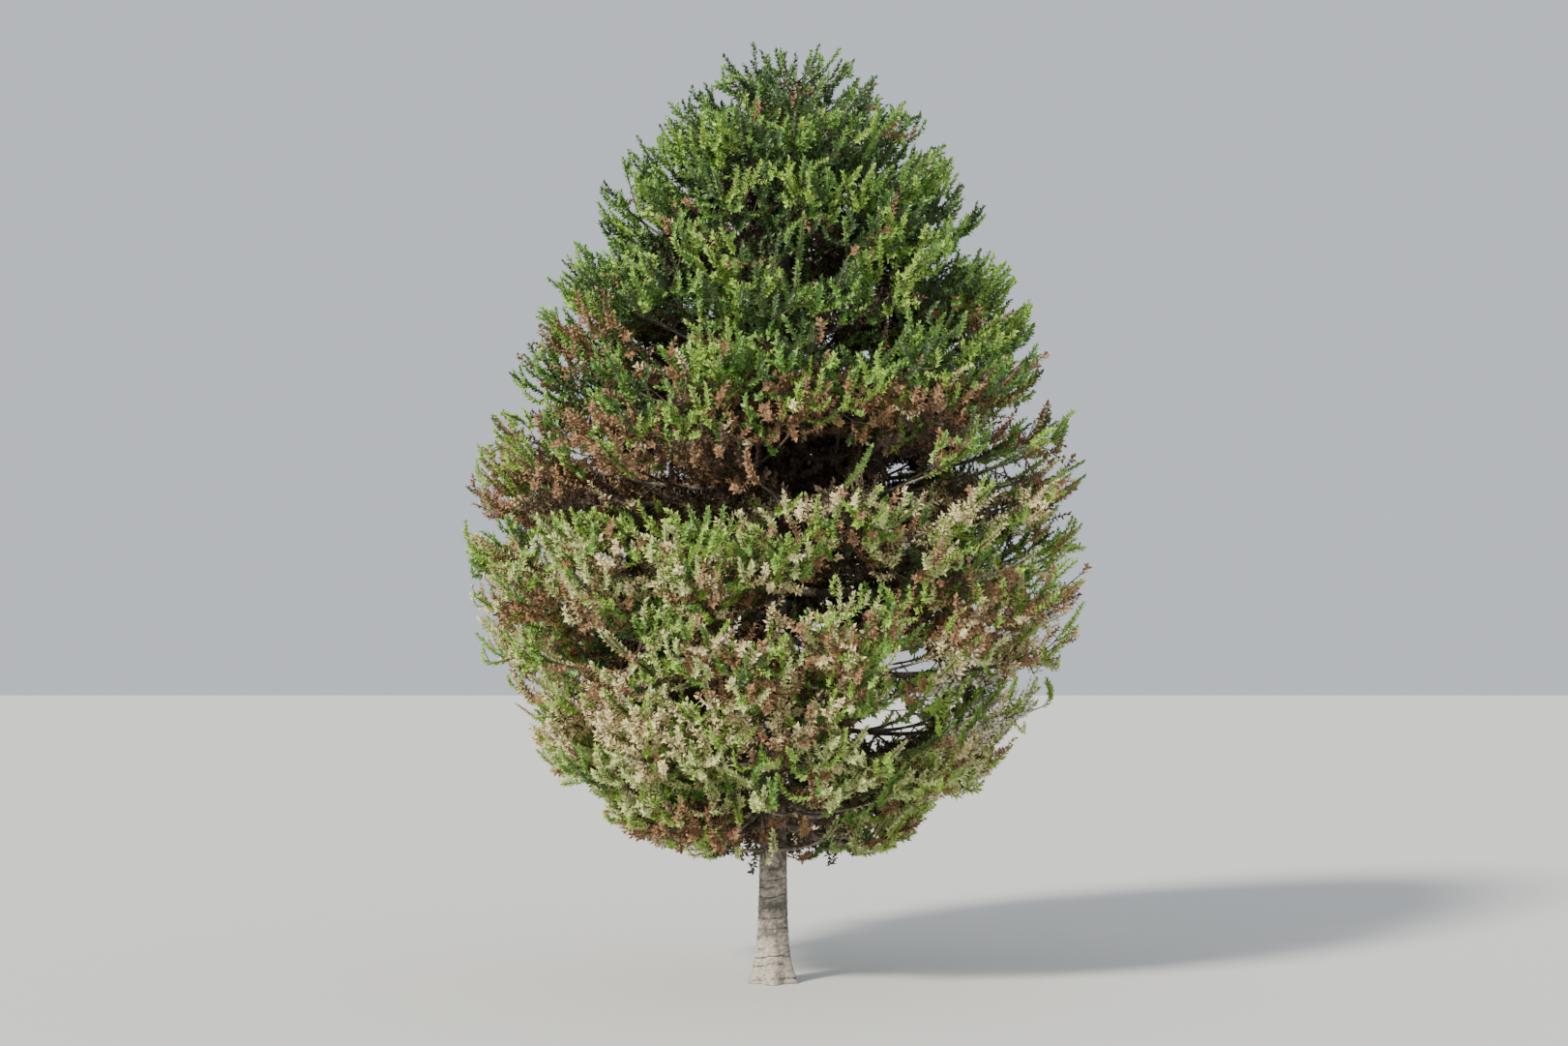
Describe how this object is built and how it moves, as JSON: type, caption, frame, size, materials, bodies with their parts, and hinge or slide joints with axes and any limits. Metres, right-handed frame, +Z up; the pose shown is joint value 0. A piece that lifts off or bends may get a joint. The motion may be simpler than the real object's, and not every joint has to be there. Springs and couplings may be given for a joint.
{
  "type": "monkey puzzle tree",
  "caption": "Evergreen tree with a broad dome of whorled boughs, ropes of stiff leaves that turn up at their tips, and a short bare trunk with a root flare.",
  "frame": {"origin": "middle of the flat cut under the trunk, at ground level", "axes": "+Z up along the trunk; the trunk leans slightly towards +X; -Y is the side the picture shows"},
  "size_m": [6.5954, 6.4513, 10],
  "materials": {
    "trunk_bark": "rough ringed bark",
    "limb_bark": "rough bark",
    "foliage_green": "stiff leathery leaves",
    "foliage_dry": "leaves mixed green and dead"
  },
  "bodies": {
    "root": {"bough_1_1": "limb_bark", "bough_1_2": "limb_bark", "bough_1_3": "limb_bark", "bough_1_4": "limb_bark", "bough_2_1": "limb_bark", "bough_2_2": "limb_bark", "bough_2_3": "limb_bark", "bough_2_4": "limb_bark", "bough_2_5": "limb_bark", "bough_3_1": "limb_bark", "bough_3_2": "limb_bark", "bough_3_3": "limb_bark", "bough_3_4": "limb_bark", "bough_3_5": "limb_bark", "bough_4_1": "limb_bark", "bough_4_2": "limb_bark", "bough_4_3": "limb_bark", "bough_4_4": "limb_bark", "bough_4_5": "limb_bark", "foliage_1_1": "foliage_dry", "foliage_1_2": "foliage_dry", "foliage_1_3": "foliage_dry", "foliage_1_4": "foliage_dry", "foliage_2_1": "foliage_dry", "foliage_2_2": "foliage_dry", "foliage_2_3": "foliage_dry", "foliage_2_4": "foliage_dry", "foliage_2_5": "foliage_dry", "foliage_3_1": "foliage_dry", "foliage_3_2": "foliage_dry", "foliage_3_3": "foliage_dry", "foliage_3_4": "foliage_dry", "foliage_3_5": "foliage_dry", "foliage_4_1": "foliage_green", "foliage_4_2": "foliage_green", "foliage_4_3": "foliage_green", "foliage_4_4": "foliage_green", "foliage_4_5": "foliage_green", "foliage_5_1": "foliage_green", "foliage_5_2": "foliage_green", "foliage_5_3": "foliage_green", "foliage_5_4": "foliage_green", "foliage_5_5": "foliage_green", "foliage_6_1": "foliage_green", "foliage_6_2": "foliage_green", "foliage_6_3": "foliage_green", "foliage_6_4": "foliage_green", "foliage_6_5": "foliage_green", "foliage_7_1": "foliage_green", "foliage_7_2": "foliage_green", "foliage_7_3": "foliage_green", "foliage_7_4": "foliage_green", "foliage_7_5": "foliage_green", "foliage_8_1": "foliage_green", "foliage_8_2": "foliage_green", "foliage_8_3": "foliage_green", "foliage_8_4": "foliage_green", "foliage_top": "foliage_green", "trunk": "trunk_bark"}
  },
  "joints": []
}
